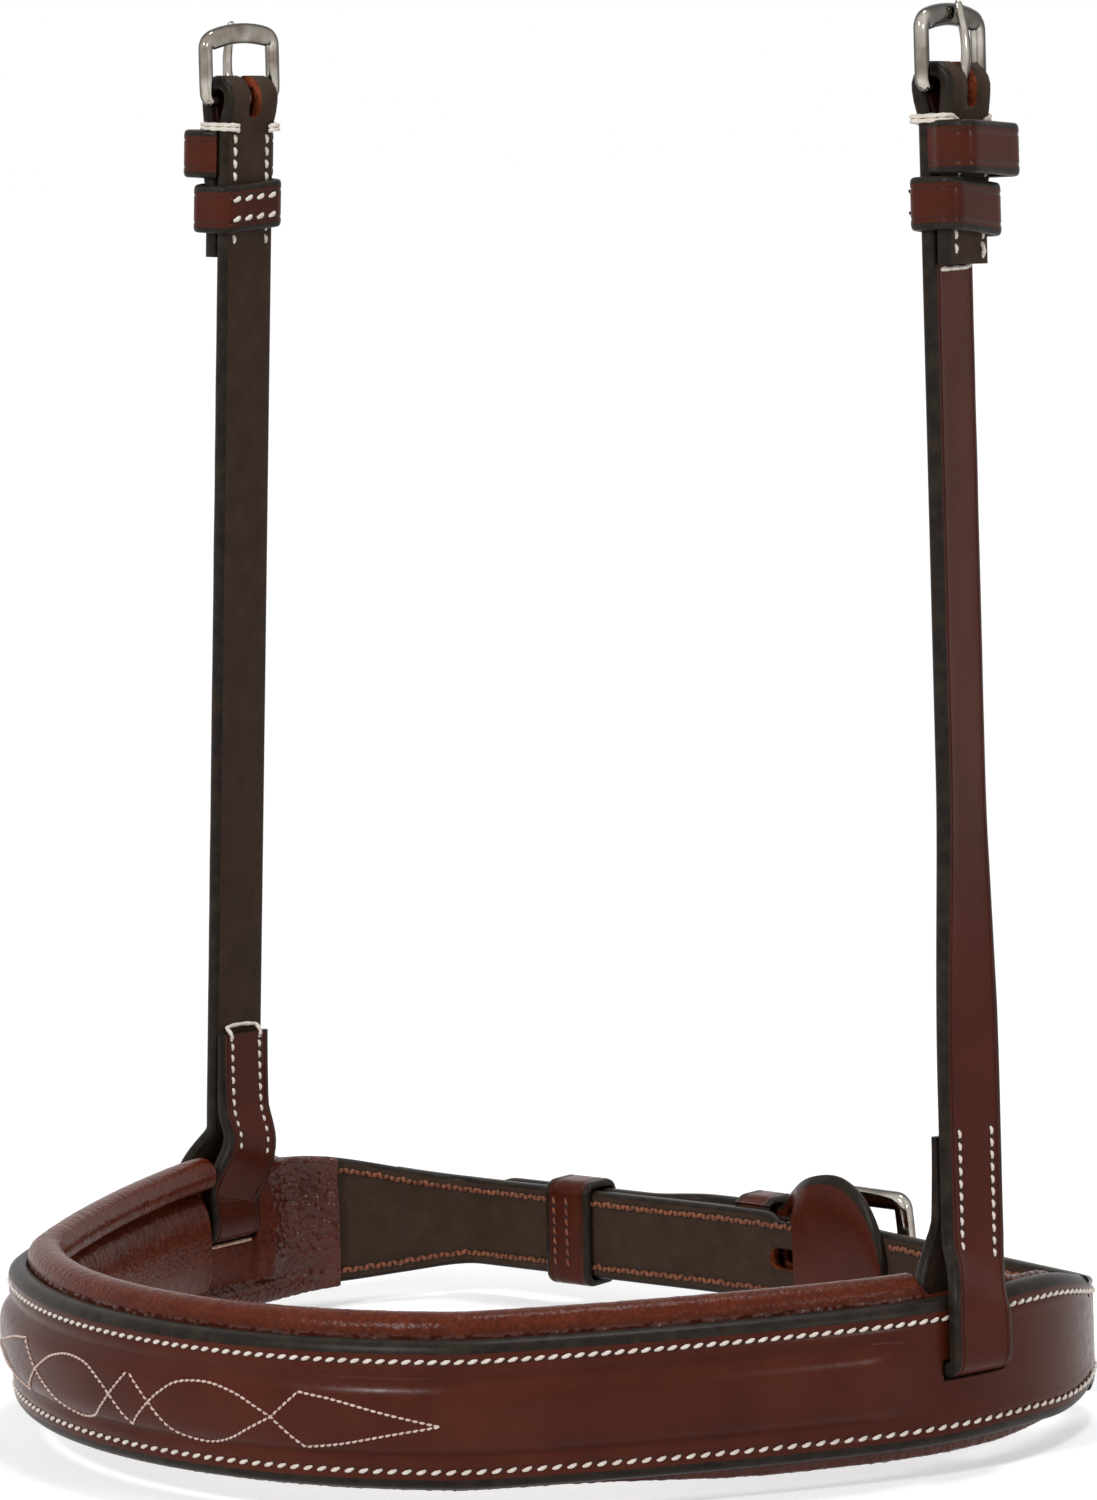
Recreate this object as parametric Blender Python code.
"""Cavesson noseband of an English bridle: a raised, padded nosepiece on a ring, with two hangers.

The ring lies level with its nose towards -Y and its rear buckle towards +Y.  X is left to right,
Z is up, and the origin is on the ground under the middle of the ring's box.
"""
import bmesh
import bpy
from math import cos, pi, radians, sin, sqrt, tan
from mathutils import Vector

mm = 0.001

# Plan of the ring: arcs of the outer leather's surface, from the nose to the back, on each side
nose_radius = 107 * mm
nose_sweep = radians(35)
shoulder_radius = 31 * mm
shoulder_sweep = radians(19)
cheek_radius = 330 * mm
cheek_sweep = radians(12.5)
side_radius = 69 * mm
side_sweep = radians(62.5)
corner_radius = 17 * mm
corner_sweep = radians(43)
back_radius = 190 * mm
facet_turn = radians(9)
facet_length = 14 * mm

# Fits
seat_gap = 0.3 * mm        # leather on leather, or a bar in its fold
running_gap = 0.35 * mm    # each side of a piece that slides or swings
cut_overrun = 3 * mm       # how far a cut runs past what it cuts

# Nosepiece
nose_half_height = 13.8 * mm
face_thickness = 1.6 * mm
backing_thickness = 1.6 * mm
edge_round = 1.6 * mm
raised_half_height = 6.6 * mm
raised_proud = 2.2 * mm
crease_depth = 0.35 * mm
crease_width = 0.9 * mm
raised_short = 24 * mm     # from where the raised centre starts to sink to the hanger's slot
raised_fade = 14 * mm
core_inset = 1.3 * mm
raised_outline_shares = ((0.0, 1.0), (0.42, 0.93), (0.74, 0.62), (0.93, 0.2))

# Padding
pad_past_slot = 31 * mm    # from the hanger's slot to the end of the padding
face_past_pad = 15 * mm    # and on to the end of the leather
pad_fade = 10 * mm         # over which it thins before the hanger's slot
pad_thin_share = 0.26
roll_radius = 3.6 * mm
roll_rise = 0.6 * mm       # of the roll's centre above the leather's top edge
panel_depth = 5.2 * mm
channel_depth = 1.2 * mm   # of lining left under the sewn channel
channel_below = 4.4 * mm   # channel, below the roll's centre
hem_drop = 2.4 * mm
hem_depth = 2.6 * mm
hem_rise = 2.2 * mm
hem_fade = 22 * mm         # over which the hem thins to the padding's end
seam_inset = 1.5 * mm
lining_thickness = 0.8 * mm
roll_turn_shares = (0.0, 0.25, 0.5, 0.75, 1.0, 1.25)

# Rear straps
strap_half_height = 9.2 * mm
strap_thickness = 3.2 * mm
strap_edge = 0.7 * mm
taper_past_slot = 23 * mm  # from the slot to where the nosepiece narrows to the strap
taper_length = 43 * mm
rear_drop = 3 * mm         # of the rear straps' middle below the nosepiece's middle
drop_past_slot = 10 * mm   # from the slot to where they start to drop
drop_length = 50 * mm
billet_thickness = 3 * mm
billet_tip = -92 * mm      # along the rear strap from the ring's middle, to the right
tip_length = 14 * mm
tip_half_height = 2.6 * mm
hole_half_length = 2.9 * mm
hole_half_width = 2.1 * mm
hole_pitch = 19 * mm
hole_row_shares = (-1, 0, 1, 2, 3)

# Rear buckle, its turn and its guard
rear_bar_place = 3 * mm
rear_bar_radius = 1.5 * mm
turn_thickness = 1.4 * mm
turn_half_height = 7.6 * mm
turn_skive = 6 * mm
lap_length = 32 * mm
lap_web = 0.6 * mm         # skived end of a keeper, sewn in between two layers
rear_frame_length = 26 * mm
rear_frame_room = 3.2 * mm
rear_side_bar = 3.8 * mm
rear_front_bar = 3.6 * mm
rear_frame_depth = 3 * mm
rear_frame_arch = 1.4 * mm
rear_crew_half = 2.2 * mm
rear_crew_reach = 9 * mm
billet_climb = 24 * mm     # length over which the billet climbs through the buckle
tongue_crossing = 5 * mm   # from the heel bar to the hole that the tongue stands in
stem_rise_shares = ((0.4, 0.32), (0.68, 0.41), (0.86, 0.56), (1.02, 0.72), (1.2, 0.86),
                    (1.5, 0.94))
guard_thickness = 1.8 * mm
guard_neck_end = -20 * mm
guard_neck_half = 9 * mm
guard_up = 19.3 * mm
guard_down = 12.9 * mm
guard_middle = 14.5 * mm
guard_tip = 30.5 * mm
guard_cross_start = -4 * mm
guard_cross_end = 2.8 * mm
guard_end_share = 0.97

# Keepers of the rear strap
rear_keeper_wall = 1.6 * mm
rear_fixed_width = 9.5 * mm
rear_fixed_place = -13.8 * mm
rear_slide_width = 11.5 * mm
rear_slide_place = -59 * mm
keeper_corner = 1.8 * mm
keeper_bevel = 0.4 * mm

# Hangers
slot_reach = 170 * mm      # along the ring from the nose to the hanger's slot
slot_rise = 0.4 * mm       # of the slot above the nosepiece's middle
slot_room = 0.5 * mm
hanger_half_width = 7 * mm
hanger_thickness = 3 * mm
hanger_length = 235.3 * mm  # slot to the buckle's heel bar
hanger_lean_in = radians(2.2)
hanger_lean_back = radians(2.2)
hanger_bend_in = 5.8 * mm  # how far the strap bends in, and back, over the nosepiece's edge
hanger_bend_back = 3.8 * mm
bend_start = 11 * mm       # heights above the slot
bend_end = 36 * mm
hanger_twist = {"left": 0.0, "right": radians(-16)}
twist_start = 52 * mm
twist_end = 110 * mm
hinge_height = 26.5 * mm
loop_bend = 2.3 * mm
leg_room = 0.5 * mm        # between the hanger's inner leg and the padding
leg_rise = 2.5 * mm        # of the inner leg above the padding before it turns outward
lap_top = 42 * mm
tail_length = 32.5 * mm
crew_half = 1.9 * mm
crew_below = 4 * mm
fold_set = 1.4 * mm        # how far the strap sets inward to meet its heel bar

# Hanger buckles
bar_radius = 1.35 * mm
frame_length = 14 * mm
frame_room = 1 * mm
side_bar = 3 * mm
top_bar = 4.2 * mm
frame_depth = 2.6 * mm
frame_arch = 1.6 * mm
frame_corner = 2.4 * mm
tongue_half_width = 1.15 * mm
tongue_half_thick = 0.8 * mm
tongue_clearance = 0.25 * mm
tongue_swell = 1.1 * mm
tongue_over = 1.8 * mm     # length of the tip past the bar it rests on

# Hanger keepers
keeper_wall = 1.6 * mm
keeper_width = 9 * mm
fixed_keeper_place = 11.5 * mm   # below the heel bar
slide_keeper_place = 22 * mm
billet_room = 5.4 * mm

# Worked out from the above
lining_seat = face_thickness + backing_thickness + 2 * seat_gap
pad_reach = slot_reach + pad_past_slot
face_reach = pad_reach + face_past_pad
raised_reach = slot_reach - raised_short
taper_start = slot_reach + taper_past_slot
taper_end = taper_start + taper_length
drop_start = slot_reach + drop_past_slot
drop_end = drop_start + drop_length
ring_middle = strap_half_height + rear_frame_room + rear_side_bar + rear_drop
hanger_pitch = hanger_thickness + seat_gap
hanger_offset = seat_gap + hanger_thickness / 2
thin_roll = roll_radius * pad_thin_share
loop_depth = lining_seat + 2 * thin_roll + leg_room + hanger_thickness + seat_gap
knuckle_radius = hanger_pitch / 2 + hanger_thickness / 2
fold_radius = bar_radius + seat_gap + hanger_thickness / 2
bar_lift = fold_radius - fold_set
tail_lift = hanger_pitch + seat_gap + lap_web
lap_lift = seat_gap * 2 + lap_web + turn_thickness / 2
neck_lift = lap_lift + (turn_thickness + guard_thickness) / 2 + seat_gap
billet_high = neck_lift + (guard_thickness + billet_thickness) / 2 + seat_gap
billet_low = -strap_thickness / 2
turn_radius = rear_bar_radius + seat_gap + turn_thickness / 2
turn_depth = strap_thickness - turn_thickness / 2
rear_bar_depth = turn_radius - turn_depth
shield_depth = strap_thickness + seat_gap * 2 + guard_thickness / 2
front_bar_depth = billet_low + (billet_thickness + rear_frame_depth) / 2 + seat_gap


def ease(value, start, end):
    """0 before start, 1 after end, and a smooth step between."""
    share = min(max((value - start) / (end - start), 0.0), 1.0)
    return share * share * (3 - 2 * share)


def arc_step(radius, heading, sweep):
    """Where an arc ends, seen from where it starts."""
    turned = heading + sweep
    return radius * Vector((sin(turned) - sin(heading), cos(heading) - cos(turned)))


def plan_runs():
    """The arcs and the straight of the ring's right half, and the half's length."""
    arcs = (
        (nose_radius, nose_sweep),
        (shoulder_radius, shoulder_sweep),
        (cheek_radius, cheek_sweep),
        (side_radius, side_sweep),
        (corner_radius, corner_sweep),
    )
    runs = []
    point, heading, travelled = Vector((0, 0)), 0.0, 0.0
    for radius, sweep in arcs:
        runs.append((travelled, radius, point, heading))
        point = point + arc_step(radius, heading, sweep)
        heading += sweep
        travelled += radius * sweep
    left_over = pi - heading
    straight = (point.x - back_radius * sin(left_over)) / cos(left_over)
    runs.append((travelled, 0.0, point, heading))
    point = point + straight * Vector((cos(heading), sin(heading)))
    travelled += straight
    runs.append((travelled, back_radius, point, heading))
    point = point + arc_step(back_radius, heading, left_over)
    return runs, travelled + back_radius * left_over, point.y


ring_runs, half_length, ring_depth = plan_runs()
rear_stack = billet_high + billet_thickness / 2 + seat_gap + rear_keeper_wall
nose_place = -(ring_depth + rear_stack - raised_proud) / 2


def ring_frame(reach):
    """Point, way along and way out of the ring at a length from the nose, positive to the right."""
    if reach > half_length:
        reach -= 2 * half_length
    if reach < -half_length:
        reach += 2 * half_length
    side = -1.0 if reach < 0 else 1.0
    distance = abs(reach)
    start, radius, point, heading = [run for run in ring_runs if run[0] <= distance][-1]
    if radius:
        turned = heading + (distance - start) / radius
        point = point + arc_step(radius, heading, turned - heading)
    else:
        turned = heading
        point = point + (distance - start) * Vector((cos(heading), sin(heading)))
    along = Vector((cos(turned), side * sin(turned), 0))
    out = Vector((along.y, -along.x, 0))
    return Vector((side * point.x, point.y + nose_place, 0)), along, out


def ring_point(reach, lift, height):
    """World point on the ring: lift is outward from the leather's surface, height from its middle."""
    base, _, out = ring_frame(reach)
    away = min(abs(reach), 2 * half_length - abs(reach))
    drop = rear_drop * ease(away, drop_start, drop_end)
    return base + out * lift + Vector((0, 0, ring_middle + height - drop))


def rear_point(place, lift, height):
    """World point on the rear strap: place runs from the ring's middle to the right."""
    return ring_point(half_length - place, lift, height)


def ring_stations(start, end, extras=()):
    """Lengths along the right half of the ring that keep its facets small."""
    marks = {start, end, *extras}
    ends = [run[0] for run in ring_runs[1:]] + [half_length]
    for (first, radius, _, _), last in zip(ring_runs, ends):
        turn = (last - first) / radius if radius else 0.0
        steps = max(int(turn / facet_turn), int((last - first) / facet_length)) + 1
        for step in range(steps + 1):
            marks.add(first + (last - first) * step / steps)
    marks = sorted(mark for mark in marks if start <= mark <= end)
    kept = [marks[0]]
    for mark in marks[1:]:
        if mark - kept[-1] > cut_overrun or mark == end:
            kept.append(mark)
    return kept


def both_sides(stations):
    """Stations on the left and the right of the nose, from left to right."""
    return [-mark for mark in reversed(stations) if mark > 0] + stations


def material(name, colour, roughness, metallic=0.0):
    """A plain finish."""
    finish = bpy.data.materials.new(name)
    finish.use_nodes = True
    shader = finish.node_tree.nodes["Principled BSDF"]
    shader.inputs["Base Color"].default_value = (*colour, 1.0)
    shader.inputs["Roughness"].default_value = roughness
    shader.inputs["Metallic"].default_value = metallic
    finish.diffuse_color = (*colour, 1.0)
    return finish


def add_solid(name, rings, finish, closed=False):
    """A solid lofted through rings of points, with flat ends, or joined up end to end."""
    shape = bmesh.new()
    rows = [[shape.verts.new(point) for point in ring] for ring in rings]
    pairs = list(zip(rows, rows[1:]))
    if closed:
        pairs.append((rows[-1], rows[0]))
    else:
        shape.faces.new(rows[0])
        shape.faces.new(rows[-1])
    for row, following in pairs:
        count = len(row)
        for index in range(count):
            after = (index + 1) % count
            shape.faces.new((row[index], row[after], following[after], following[index]))
    bmesh.ops.recalc_face_normals(shape, faces=shape.faces)
    mesh = bpy.data.meshes.new(name)
    shape.to_mesh(mesh)
    shape.free()
    mesh.shade_smooth()
    mesh.set_sharp_from_angle(angle=radians(35))
    mesh.materials.append(finish)
    piece = bpy.data.objects.new(name, mesh)
    bpy.context.scene.collection.objects.link(piece)
    return piece


def add_cutter(name, rings):
    """A solid that only cuts others."""
    cutter = add_solid(name, rings, finishes["cut"])
    cutter.hide_render = True
    cutter.display_type = "WIRE"
    return cutter


def cut(piece, cutter):
    """Take a cutter out of a piece."""
    tool = piece.modifiers.new(cutter.name, "BOOLEAN")
    tool.operation = "DIFFERENCE"
    tool.solver = "EXACT"
    tool.object = cutter


def strap_section(up, down, half_thick, edge=strap_edge):
    """Outline of a strap cut across, its corners taken off: (across, through) pairs."""
    corner = min(edge, half_thick * 0.7)
    inner = half_thick - corner
    return [
        (up - corner, half_thick), (up, inner), (up, -inner), (up - corner, -half_thick),
        (corner - down, -half_thick), (-down, -inner), (-down, inner), (corner - down, half_thick),
    ]


def sweep(path, place):
    """Rings of a strap that follows a flat path of (along, lift, up, down, half thickness)."""
    rings = []
    for index, (along, lift, up, down, half_thick) in enumerate(path):
        before, after = path[max(index - 1, 0)], path[min(index + 1, len(path) - 1)]
        way = Vector((after[0] - before[0], after[1] - before[1])).normalized()
        ring = []
        for across, through in strap_section(up, down, half_thick):
            ring.append(place(along - way.y * through, lift + way.x * through, across))
        rings.append(ring)
    return rings


def turn(centre_along, centre_lift, radius, start, end, count):
    """Points (along, lift) on an arc; the angle is measured from along towards lift."""
    angles = [start + (end - start) * step / count for step in range(count + 1)]
    return [(centre_along + radius * cos(a), centre_lift + radius * sin(a)) for a in angles]


def rounded_loop(low_a, high_a, low_b, high_b, corner, count=3):
    """Closed outline of a rectangle with round corners, (a, b) pairs."""
    centres = (
        (high_a - corner, high_b - corner, 0.0),
        (low_a + corner, high_b - corner, pi / 2),
        (low_a + corner, low_b + corner, pi),
        (high_a - corner, low_b + corner, 3 * pi / 2),
    )
    loop = []
    for a, b, start in centres:
        for step in range(count + 1):
            angle = start + pi / 2 * step / count
            loop.append((a + corner * cos(angle), b + corner * sin(angle)))
    return loop


def add_keeper(name, half_width, low, high, walls, span, place, finish):
    """A loop of leather: walls are its low and its other thickness, span its two edges."""
    low_wall, wall = walls
    inner = rounded_loop(-half_width, half_width, low, high, keeper_corner / 2)
    outer = rounded_loop(-half_width - wall, half_width + wall, low - low_wall, high + wall,
                         keeper_corner + wall / 2)
    start, end = span
    rings = []
    for (a, b), (c, d) in zip(inner, outer):
        share = keeper_bevel / wall
        e, f = c + (a - c) * share, d + (b - d) * share
        profile = (
            (a, b, start), (e, f, start), (c, d, start + keeper_bevel),
            (c, d, end - keeper_bevel), (e, f, end), (a, b, end),
        )
        rings.append([place(along, lift, across) for across, lift, along in profile])
    return add_solid(name, rings, finish, closed=True)


def add_buckle(name, half_inside, length, bars, depth, arch, place, finish):
    """A swelled buckle frame: its heel bar lies on the local origin, its front bar at length."""
    heel, side, front = bars
    reach = half_inside + side / 2
    corner = frame_corner
    path = []
    for angle in (-pi / 2, -pi / 4, 0.0):
        path.append((reach - heel + heel * cos(angle), heel + heel * sin(angle),
                     heel if angle < 0 else side / 2))
    path.append((reach, length / 2, side / 2))
    shoulder = length - arch - corner
    for angle in (0.0, pi / 6, pi / 3, pi / 2):
        share = angle / (pi / 2)
        path.append((reach - corner + corner * cos(angle), shoulder + corner * sin(angle),
                     side / 2 + (front - side) / 2 * share * share))
    for share in (0.5, 0.0):
        across = (reach - corner) * share
        path.append((across, length - arch * share * share, front / 2))
    mirrored = [(-across, along, half) for across, along, half in reversed(path[:-1])]
    path = path + mirrored + [(0.0, 0.0, heel)]
    rings = []
    for index, (across, along, half) in enumerate(path):
        before, after = path[index - 1], path[(index + 1) % len(path)]
        way = Vector((after[0] - before[0], after[1] - before[1])).normalized()
        half_depth = heel if along < heel * 0.9 else depth / 2
        ring = []
        for step in range(8):
            angle = 2 * pi * (step + 0.5) / 8
            out, lift = half * cos(angle), half_depth * sin(angle)
            ring.append(place(along - way.x * out, lift, across + way.y * out))
        rings.append(ring)
    return add_solid(name, rings, finish, closed=True)


def add_tongue(name, bar, stem, place, finish):
    """A buckle tongue: it wraps its bar, then follows the stem's (along, lift) points."""
    centre = bar + tongue_clearance + tongue_half_thick
    wrap = turn(0.0, 0.0, centre, radians(10), radians(-270), 12)
    path = wrap + stem
    tip = len(path) - 1
    rings = []
    for index, (along, lift) in enumerate(path):
        before, after = path[max(index - 1, 0)], path[min(index + 1, tip)]
        way = Vector((after[0] - before[0], after[1] - before[1])).normalized()
        taper = 1.0 - 0.35 * ease(index, tip - 4, tip + 2) - 0.25 * (index == tip)
        half_thick = tongue_half_thick * (1.0 - 0.4 * (index == tip))
        ring = []
        for step in range(8):
            angle = 2 * pi * (step + 0.5) / 8
            across = tongue_half_width * taper * cos(angle)
            through = half_thick * sin(angle)
            ring.append(place(along - way.y * through, lift + way.x * through, across))
        rings.append(ring)
    return add_solid(name, rings, finish)


# Nosepiece and padding

def band_half(reach):
    """Half height of the leather at a length along the ring."""
    share = ease(abs(reach), taper_start, taper_end)
    return nose_half_height + (strap_half_height - nose_half_height) * share


def raised_share(reach):
    """How far the raised centre stands proud, as a share of its full height."""
    return 1.0 - ease(abs(reach), raised_reach, raised_reach + raised_fade)


def pad_share(reach):
    """How full the padding is, as a share of its full thickness."""
    thin_from = slot_reach - hanger_half_width - slot_room
    return 1.0 - (1.0 - pad_thin_share) * ease(abs(reach), thin_from - pad_fade, thin_from)


def face_outline(reach):
    """Cut across the outer leather, from its bottom inner corner round its outside."""
    half, proud = band_half(reach), raised_share(reach)
    raised = [(raised_proud * proud * share, raised_half_height * height)
              for height, share in raised_outline_shares]
    crease = raised_half_height + crease_width / 2
    outside = raised + [
        (-crease_depth * proud, crease),
        (0.0, raised_half_height + crease_width),
        (0.0, half - edge_round),
        (-edge_round * 0.3, half - edge_round * 0.3),
        (-face_thickness, half),
    ]
    inside = [(lift - face_thickness, height) for lift, height in raised[1:3]]
    inside.append((-face_thickness, raised_half_height))
    top = outside + list(reversed(inside))
    middle = [(raised_proud * proud - face_thickness, 0.0)]
    bottom = [(lift, -height) for lift, height in reversed(top[1:])]
    return top + middle + bottom


def core_outline(reach):
    """Cut across the filler under the raised centre."""
    proud = raised_proud * raised_share(reach) - seat_gap
    half = raised_half_height - core_inset
    curve = [(proud * share - face_thickness, half * height)
             for height, share in raised_outline_shares[:3]]
    top = curve + [(-face_thickness, half)]
    return top + [(lift, -height) for lift, height in reversed(top[1:])]


def backing_outline(reach):
    """Cut across the inner leather, its inner corners rounded."""
    half = band_half(reach)
    front, back = -face_thickness - seat_gap, seat_gap - lining_seat
    corner = edge_round / 2
    top = [(front, half), (back + corner, half), (back, half - corner)]
    return top + [(lift, -height) for lift, height in reversed(top)]


def pad_outline(reach, inset):
    """Surface of the padding at a depth under its lining: the roll, and then the panel."""
    half, full = band_half(reach), pad_share(reach)
    radius = roll_radius * full - inset
    centre = half + roll_rise - (1.0 - full) * roll_radius * 0.5
    seat = -lining_seat
    roll = []
    for share in roll_turn_shares:
        angle = pi * share
        roll.append((seat - roll_radius * full + radius * cos(angle),
                     centre + radius * sin(angle)))
    channel = centre - channel_below * full - seam_inset * (1.0 - full)
    depth = panel_depth * full
    bottom = -half + hem_rise
    span = channel - bottom
    panel = [
        (seat - channel_depth + inset, channel),
        (seat - depth * 0.78 + inset, channel - span * 0.12 - inset * 0.4),
        (seat - depth + inset, channel - span * 0.34),
        (seat - depth + inset, channel - span * 0.68),
        (seat - depth * 0.74 + inset, channel - span * 0.9 + inset * 0.4),
        (seat - channel_depth + inset, bottom),
    ]
    return roll, panel


def hem_share(reach):
    """How full the padding's bottom edge is, as a share of its full size."""
    return 1.0 - (1.0 - pad_thin_share) * ease(abs(reach), pad_reach - hem_fade, pad_reach)


def lining_outline(reach):
    """Cut across the padding's lining, open towards the leather that it is sewn to."""
    half = band_half(reach)
    seat = -lining_seat
    roll, panel = pad_outline(reach, 0.0)
    inner_roll, inner_panel = pad_outline(reach, lining_thickness)
    full = hem_share(reach)
    hem = [
        (seat - hem_depth * full, -half - hem_drop * full * 0.4),
        (seat - hem_depth * full * 0.7, -half - hem_drop * full),
        (seat - hem_depth * full * 0.15, -half - hem_drop * full),
        (seat, -half - hem_drop * full * 0.5),
        (seat, -half + hem_rise + seam_inset * 0.5),
    ]
    outer = [(seat, half - seam_inset * 2)] + roll + panel + hem
    inner = inner_roll + inner_panel[:-1]
    start = (inner_roll[0][0], half - seam_inset * 2)
    return outer + list(reversed(inner)) + [start]


def roll_foam_outline(reach):
    """Cut across the foam in the roll."""
    roll, _ = pad_outline(reach, lining_thickness + seat_gap)
    return roll


def panel_foam_outline(reach):
    """Cut across the flat foam behind the panel."""
    _, panel = pad_outline(reach, lining_thickness + seat_gap)
    seat = -lining_seat
    face = panel[1:5]
    return [(seat, face[0][1])] + face + [(seat, face[-1][1])]


def add_band(name, outline, stations, finish):
    """A piece that runs round the nose with a changing outline."""
    rings = []
    for reach in stations:
        rings.append([ring_point(reach, lift, height) for lift, height in outline(reach)])
    return add_solid(name, rings, finish)


def build_nosepiece():
    """Outer leather, its raised filler, inner leather and the padding behind them."""
    fade_end = slot_reach - hanger_half_width - slot_room
    extras = (
        raised_reach, raised_reach + raised_fade / 2, raised_reach + raised_fade,
        fade_end - pad_fade / 2, fade_end, slot_reach, taper_start,
    )
    stations = both_sides(ring_stations(0.0, face_reach, extras))
    raised_end = raised_reach + raised_fade * 0.6
    raised = both_sides(ring_stations(0.0, raised_end, (raised_reach,)))
    pad_end = both_sides(ring_stations(0.0, pad_reach, extras))
    foam_end = both_sides(ring_stations(0.0, fade_end - pad_fade, extras))
    pieces = [
        add_band("nose_face", face_outline, stations, finishes["grain"]),
        add_band("nose_backing", backing_outline, stations, finishes["backing"]),
        add_band("pad_lining", lining_outline, pad_end, finishes["lining"]),
    ]
    add_band("pad_panel_foam", panel_foam_outline, foam_end, finishes["foam"])
    add_band("pad_roll_foam", roll_foam_outline, foam_end, finishes["foam"])
    add_band("raised_core", core_outline, raised, finishes["foam"])
    return pieces


# Hangers

def hanger_place(hand):
    """Placer of hanger points: height above the slot, lift from the strap's middle, across."""
    side = 1.0 if hand == "right" else -1.0
    twist = hanger_twist[hand]
    _, along, out = ring_frame(side * slot_reach)
    back = along * side
    slot = ring_point(side * slot_reach, hanger_offset, slot_rise)

    def middle(height):
        above = max(height - bend_start, 0.0)
        bend = ease(height, bend_start, bend_end)
        lean = back * (tan(hanger_lean_back) * above + hanger_bend_back * bend)
        lean -= out * (tan(hanger_lean_in) * above + hanger_bend_in * bend)
        return slot + lean + Vector((0, 0, height))

    def place(height, lift, across):
        up = (middle(height + cut_overrun) - middle(height - cut_overrun)).normalized()
        outward = (out - up * out.dot(up)).normalized()
        rearward = up.cross(outward) * side
        angle = twist * ease(height, twist_start, twist_end)
        rear = across * cos(angle) - lift * sin(angle)
        away = across * sin(angle) + lift * cos(angle)
        return middle(height) + rearward * rear + outward * away

    return place


def strap_path(points, half_width, thickness):
    """Path of a strap of even width and thickness."""
    return [(along, lift, half_width, half_width, thickness / 2) for along, lift in points]


def loop_points():
    """Middle of the hanger's loop, from its outer leg down, through the slot and up inside."""
    top = hinge_height - knuckle_radius - seat_gap
    depth = loop_depth
    clear = nose_half_height + thin_roll - slot_rise + leg_rise
    points = [(top, 0.0), (top / 2, 0.0)]
    points += turn(loop_bend, -loop_bend, loop_bend, pi / 2, pi, 4)
    points += turn(loop_bend, loop_bend - depth, loop_bend, pi, 3 * pi / 2, 4)
    points.append((clear * 0.5, -depth))
    for share in (0.0, 0.17, 0.33, 0.5, 0.67, 0.83, 1.0):
        height = clear + (top - clear) * share
        lift = -depth + (depth - hanger_pitch) * ease(share, 0.0, 1.0)
        points.append((height, lift))
    return points


def strap_points():
    """Middle of the hanger strap, from the lap's end round the knuckle and over the buckle bar."""
    bar = hanger_length
    lap_lifted = -hanger_pitch
    points = [(lap_top, lap_lifted), (hinge_height + knuckle_radius, lap_lifted)]
    points += turn(hinge_height, -hanger_pitch / 2, hanger_pitch / 2, -pi / 2, -3 * pi / 2, 8)
    points.append((lap_top, 0.0))
    steps = 6
    for step in range(steps + 1):
        points.append((twist_start + (twist_end - twist_start) * step / steps, 0.0))
    keeper_top = bar - fixed_keeper_place + keeper_width / 2
    keeper_end = bar - fixed_keeper_place - keeper_width / 2
    points += [((twist_end + bar) / 2, 0.0), (bar - tail_length, 0.0), (keeper_top, 0.0)]
    for share in (0.35, 0.65):
        points.append((keeper_top + (bar - keeper_top) * share, -fold_set * ease(share, 0.0, 1.0)))
    points += turn(bar, bar_lift, fold_radius, -pi / 2, pi / 2, 10)
    fall = bar_lift + fold_radius
    for share in (0.33, 0.66, 1.0):
        lift = fall + (tail_lift - fall) * ease(share, 0.0, 1.0)
        points.append((bar + (keeper_top - bar) * share, lift))
    points.append((keeper_end - seat_gap, tail_lift))
    settle = keeper_width / 3
    points.append((keeper_end - seat_gap - settle, hanger_pitch))
    points.append((bar - tail_length, hanger_pitch))
    return points


def frame_stem(length, rest, over):
    """Stem of a tongue from its wrap to the front bar, rising and falling like an S."""
    start = bar_radius + tongue_clearance + tongue_half_thick
    stem = []
    for share in (0.18, 0.36, 0.54, 0.72, 0.88, 1.0):
        lift = start + (rest - start) * share + tongue_swell * sin(pi * share)
        stem.append((length * share, lift))
    stem.append((length + over * 0.6, rest - tongue_half_thick * 0.2))
    stem.append((length + over, rest - tongue_half_thick * 0.8))
    return stem


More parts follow.
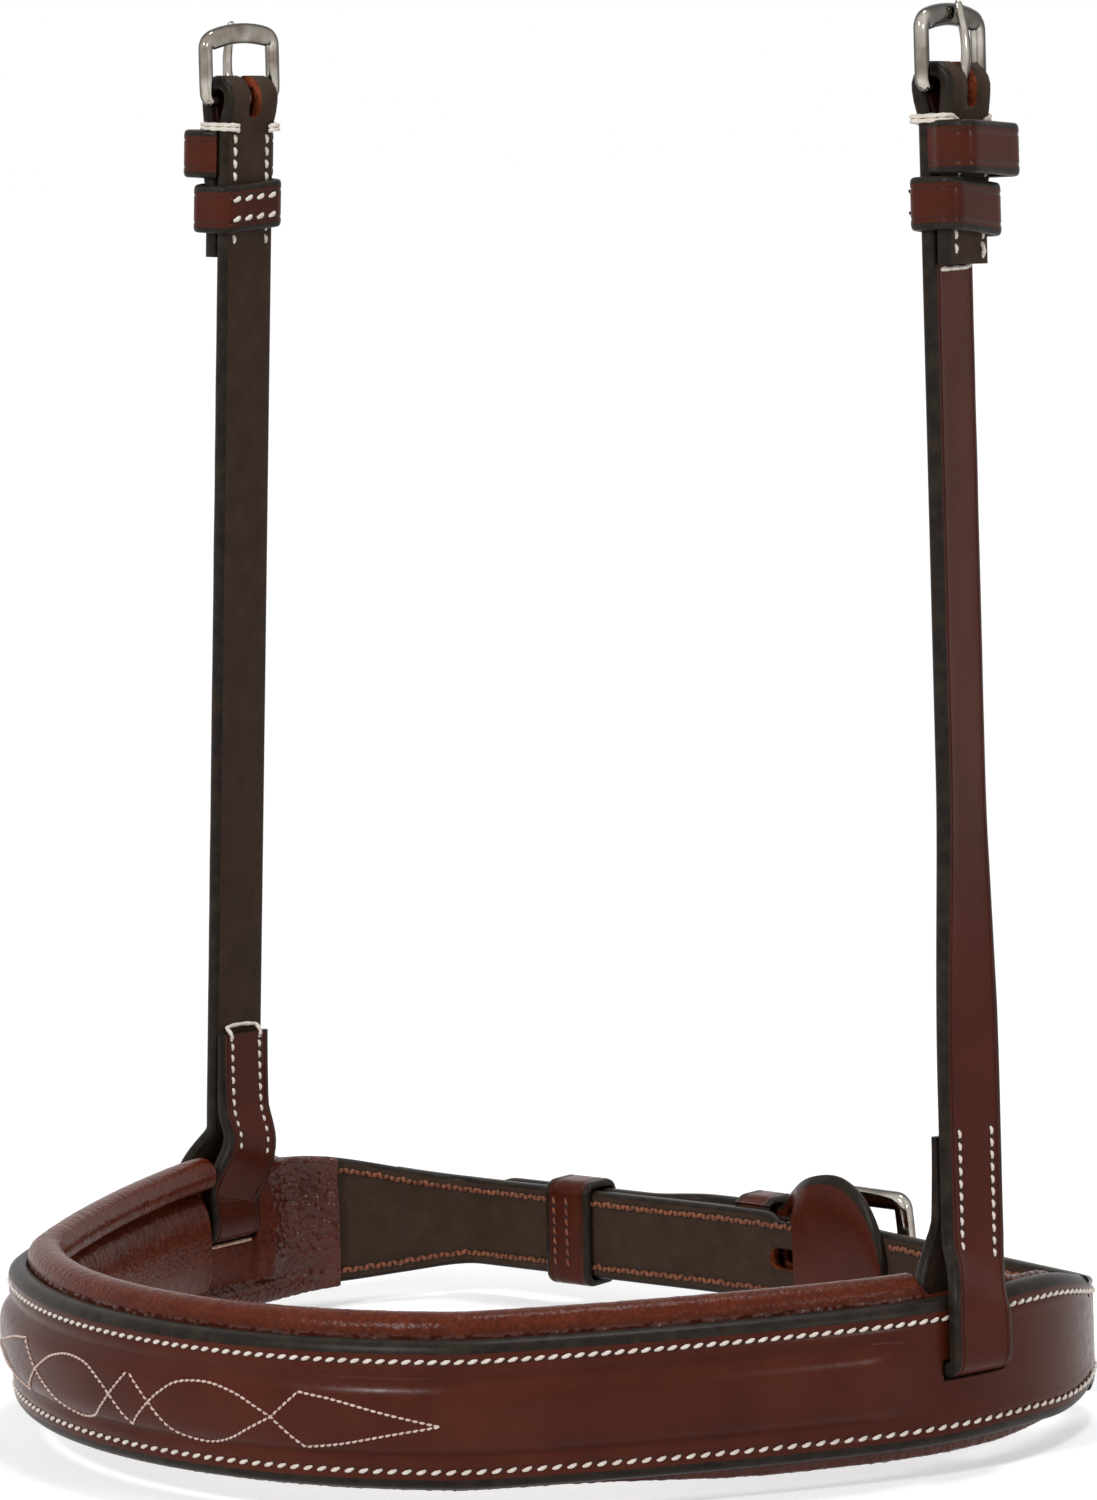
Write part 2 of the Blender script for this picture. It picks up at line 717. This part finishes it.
def build_hanger(hand, band_pieces):
    """One hanger: loop, strap, two keepers, buckle frame and tongue."""
    place = hanger_place(hand)
    loop = strap_path(loop_points(), hanger_half_width, hanger_thickness)
    add_solid(hand + "_hanger_loop", sweep(loop, place), finishes["grain"])
    strap = strap_path(strap_points(), hanger_half_width, hanger_thickness)
    strap = add_solid(hand + "_hanger_strap", sweep(strap, place), finishes["grain"])

    bar = hanger_length
    crew_bottom, crew_top = bar - crew_below, bar + fold_radius + hanger_thickness
    near, far = -hanger_thickness, 2 * fold_radius + hanger_thickness
    outline = rounded_loop(crew_bottom, crew_top, -crew_half, crew_half, crew_half * 0.9)
    crew = [[place(height, lift, across) for height, across in outline] for lift in (near, far)]
    cut(strap, add_cutter(hand + "_crew_cutter", crew))

    half_slot = hanger_half_width + slot_room
    outline = rounded_loop(-hanger_thickness / 2 - slot_room, hanger_thickness / 2 + slot_room,
                           -half_slot, half_slot, slot_room)
    slot = [[place(height, lift, across) for height, across in outline]
            for lift in (cut_overrun, -loop_depth - cut_overrun)]
    slot_cutter = add_cutter(hand + "_slot_cutter", slot)
    for piece in band_pieces:
        cut(piece, slot_cutter)

    inside = hanger_half_width + running_gap
    main = hanger_thickness / 2
    tail = tail_lift + main
    middle = bar - fixed_keeper_place
    span = (middle - keeper_width / 2, middle + keeper_width / 2)
    add_keeper(hand + "_fixed_keeper", inside, main + seat_gap + lap_web, tail + billet_room,
               (lap_web, keeper_wall), span, place, finishes["grain"])
    middle = bar - slide_keeper_place
    span = (middle - keeper_width / 2, middle + keeper_width / 2)
    add_keeper(hand + "_sliding_keeper", inside, -main - running_gap, tail + running_gap,
               (keeper_wall, keeper_wall), span, place, finishes["grain"])

    def buckle_place(along, lift, across):
        return place(bar + along, bar_lift + lift, across)

    bars = (bar_radius, side_bar, top_bar)
    add_buckle(hand + "_buckle_frame", hanger_half_width + frame_room, frame_length, bars,
               frame_depth, frame_arch, buckle_place, finishes["steel"])
    rest = frame_depth / 2 + tongue_clearance + tongue_half_thick
    stem = frame_stem(frame_length, rest, top_bar / 2 + tongue_over - side_bar / 2)
    add_tongue(hand + "_buckle_tongue", bar_radius, stem, buckle_place, finishes["steel"])


# Rear straps

def billet_lift(place):
    """Middle of the billet: under the buckle's front bar, over its heel, and down to the strap."""
    front = rear_bar_place + billet_climb - seat_gap
    climb = 1.0 - ease(place, front - billet_climb, front)
    settle = ease(-place, lap_length - rear_bar_place, lap_length * 1.4 - rear_bar_place)
    flat = seat_gap + billet_thickness / 2
    high = billet_low + (billet_high - billet_low) * climb
    return high + (flat - billet_high) * settle


def build_billet():
    """The billet: from the right end of the padding, through the buckle, to its point."""
    start = half_length - face_reach - seat_gap
    corner = [start - corner_radius * corner_sweep * share for share in (0.0, 0.3, 0.6, 0.85, 1.1)]
    straight = [start * 0.72, start * 0.5, start * 0.34]
    front = rear_bar_place + billet_climb
    climb = [front - billet_climb * step / 8 for step in range(9)]
    after = [climb[-1] - lap_length * share for share in (0.35, 0.8, 1.0, 1.15, 1.3, 1.5)]
    point_start = billet_tip + tip_length
    point = [point_start - tip_length * share for share in (0.0, 0.35, 0.65, 0.85, 0.95, 1.0)]
    path = []
    for place in corner + straight + climb + after + point:
        share = ease(-place, -point_start, -billet_tip + seat_gap)
        half = band_half(half_length - abs(place))
        half += (tip_half_height - half) * share
        path.append((place, billet_lift(place), half, half, billet_thickness / 2))
    billet = add_solid("billet_strap", sweep(path, rear_point), finishes["grain"])
    crossing = rear_bar_place + tongue_crossing
    for number, share in enumerate(hole_row_shares):
        place = crossing + hole_pitch * share
        slope = (billet_lift(place + seat_gap) - billet_lift(place - seat_gap)) / (2 * seat_gap)
        way = Vector((1, slope)).normalized()
        rings = []
        for depth in (-billet_thickness, billet_thickness):
            ring = []
            for step in range(12):
                angle = 2 * pi * step / 12
                along, across = hole_half_length * cos(angle), hole_half_width * sin(angle)
                ring.append(rear_point(place + way.x * along - way.y * depth,
                                       billet_lift(place) + way.y * along + way.x * depth, across))
            rings.append(ring)
        cut(billet, add_cutter("billet_hole_cutter_" + str(number + 1), rings))


def build_buckle_strap():
    """The buckle strap: from the left end of the padding, round the heel bar and back outside."""
    start = face_reach + seat_gap - half_length
    corner = [start + corner_radius * corner_sweep * share for share in (0.0, 0.3, 0.6, 0.85, 1.1)]
    straight = [start * 0.72, start * 0.5, start * 0.34]
    path = []
    for place in corner + straight:
        half = band_half(half_length + place)
        path.append((place, -strap_thickness / 2, half, half, strap_thickness / 2))
    bar = rear_bar_place
    skive_start = bar - turn_radius - turn_skive * 1.5
    for step in range(5):
        share = ease(step / 4, 0.0, 1.0)
        thick = strap_thickness + (turn_thickness - strap_thickness) * share
        half = strap_half_height + (turn_half_height - strap_half_height) * share
        path.append((skive_start + turn_skive * step / 4, thick / 2 - strap_thickness,
                     half, half, thick / 2))
    half = turn_half_height
    bend = turn(bar, rear_bar_depth, turn_radius, -pi / 2, pi / 2, 10)
    path += [(along, lift, half, half, turn_thickness / 2) for along, lift in bend]
    fall = rear_bar_depth + turn_radius
    for share in (0.33, 0.66, 1.0):
        lift = fall + (lap_lift - fall) * ease(share, 0.0, 1.0)
        path.append((bar - turn_skive * share, lift, half, half, turn_thickness / 2))
    for share in (0.6, 1.0):
        path.append((bar - lap_length * share, lap_lift, half, half, turn_thickness / 2))
    strap = add_solid("buckle_strap", sweep(path, rear_point), finishes["grain"])
    outline = rounded_loop(bar - rear_crew_reach, bar + turn_radius + strap_thickness,
                           -rear_crew_half, rear_crew_half, rear_crew_half * 0.9)
    rings = [[rear_point(along, lift, across) for along, across in outline]
             for lift in (-strap_thickness * 2, turn_radius * 2)]
    cut(strap, add_cutter("rear_crew_cutter", rings))


def build_guard():
    """The buckle guard: a neck outside the strap, a slit, and a shield between buckle and skin."""
    lean = guard_middle - guard_neck_end
    left = [guard_neck_end + lean * step / 16 for step in range(17)]
    right = [guard_middle + (guard_tip - guard_middle) * share
             for share in (0.2, 0.4, 0.6, 0.75, 0.87, 0.94, guard_end_share)]
    path = []
    for place in left + right:
        if place <= guard_middle:
            neck_edge = rear_fixed_place + rear_fixed_width / 2
            share = max((place - neck_edge) / (guard_middle - neck_edge), 0.0)
            share = sin(share * pi / 2)
            up = guard_neck_half + (guard_up - guard_neck_half) * share
            down = guard_neck_half + (guard_down - guard_neck_half) * share
        else:
            share = sqrt(1.0 - ((place - guard_middle) / (guard_tip - guard_middle)) ** 2)
            up, down = guard_up * share, guard_down * share
        cross = ease(place, guard_cross_start, guard_cross_end)
        lift = neck_lift - (neck_lift + shield_depth) * cross
        path.append((place, lift, up, down, guard_thickness / 2))
    guard = add_solid("buckle_guard", sweep(path, rear_point), finishes["grain"])
    half_slit = turn_half_height + seat_gap * 2
    outline = rounded_loop(guard_cross_start - guard_thickness, guard_cross_end + seat_gap,
                           -half_slit, half_slit, seat_gap)
    rings = [[rear_point(along, lift, across) for along, across in outline]
             for lift in (-shield_depth - guard_thickness, lap_lift + turn_thickness / 2 + seat_gap)]
    cut(guard, add_cutter("guard_slit_cutter", rings))


def build_rear():
    """Straps, guard, keepers and buckle at the back of the ring."""
    build_billet()
    build_buckle_strap()
    build_guard()
    inside = strap_half_height + running_gap
    high = billet_high + billet_thickness / 2 + seat_gap
    span = (rear_fixed_place - rear_fixed_width / 2, rear_fixed_place + rear_fixed_width / 2)
    add_keeper("rear_fixed_keeper", inside, seat_gap + lap_web, high,
               (lap_web, rear_keeper_wall), span, rear_point, finishes["grain"])
    high = seat_gap + billet_thickness + running_gap
    span = (rear_slide_place - rear_slide_width / 2, rear_slide_place + rear_slide_width / 2)
    add_keeper("rear_sliding_keeper", inside, -strap_thickness - running_gap, high,
               (rear_keeper_wall, rear_keeper_wall), span, rear_point, finishes["grain"])

    _, along, out = ring_frame(half_length - rear_bar_place)
    heel = rear_point(rear_bar_place, rear_bar_depth, 0.0)
    slope = (front_bar_depth - rear_bar_depth) / rear_frame_length

    def buckle_place(along_frame, lift, across):
        reach = -along * along_frame
        return heel + reach + out * (lift + along_frame * slope) + Vector((0, 0, across))

    bars = (rear_bar_radius, rear_side_bar, rear_front_bar)
    add_buckle("rear_buckle_frame", strap_half_height + rear_frame_room, rear_frame_length, bars,
               rear_frame_depth, rear_frame_arch, buckle_place, finishes["steel"])
    add_tongue("rear_buckle_tongue", rear_bar_radius, rear_stem(), buckle_place,
               finishes["steel"])


def rear_stem():
    """Stem of the rear tongue: steeply out through the billet's hole, then down on to the bar."""
    rest = rear_frame_depth / 2 + tongue_clearance + tongue_half_thick
    over = billet_high + billet_thickness / 2 + tongue_clearance - rear_bar_depth
    length = rear_frame_length
    stem = [(tongue_crossing * along, over * lift) for along, lift in stem_rise_shares]
    last, high = stem[-1]
    for share in (0.25, 0.5, 0.75, 1.0):
        stem.append((last + (length - last) * share,
                     high + (rest - high) * ease(share, -0.3, 1.0)))
    stem.append((length + tongue_over, rest - tongue_half_thick))
    return stem


for item in list(bpy.data.objects):
    bpy.data.objects.remove(item, do_unlink=True)

finishes = {
    "grain": material("grain_leather", (0.075, 0.022, 0.014), 0.42),
    "backing": material("backing_leather", (0.02, 0.016, 0.014), 0.6),
    "lining": material("soft_lining", (0.12, 0.03, 0.018), 0.55),
    "foam": material("foam", (0.75, 0.72, 0.66), 0.9),
    "steel": material("polished_steel", (0.72, 0.7, 0.67), 0.18, 1.0),
    "cut": material("cut", (0.5, 0.5, 0.5), 0.5),
}

band_layers = build_nosepiece()
for hanger_hand in ("left", "right"):
    build_hanger(hanger_hand, band_layers)
build_rear()
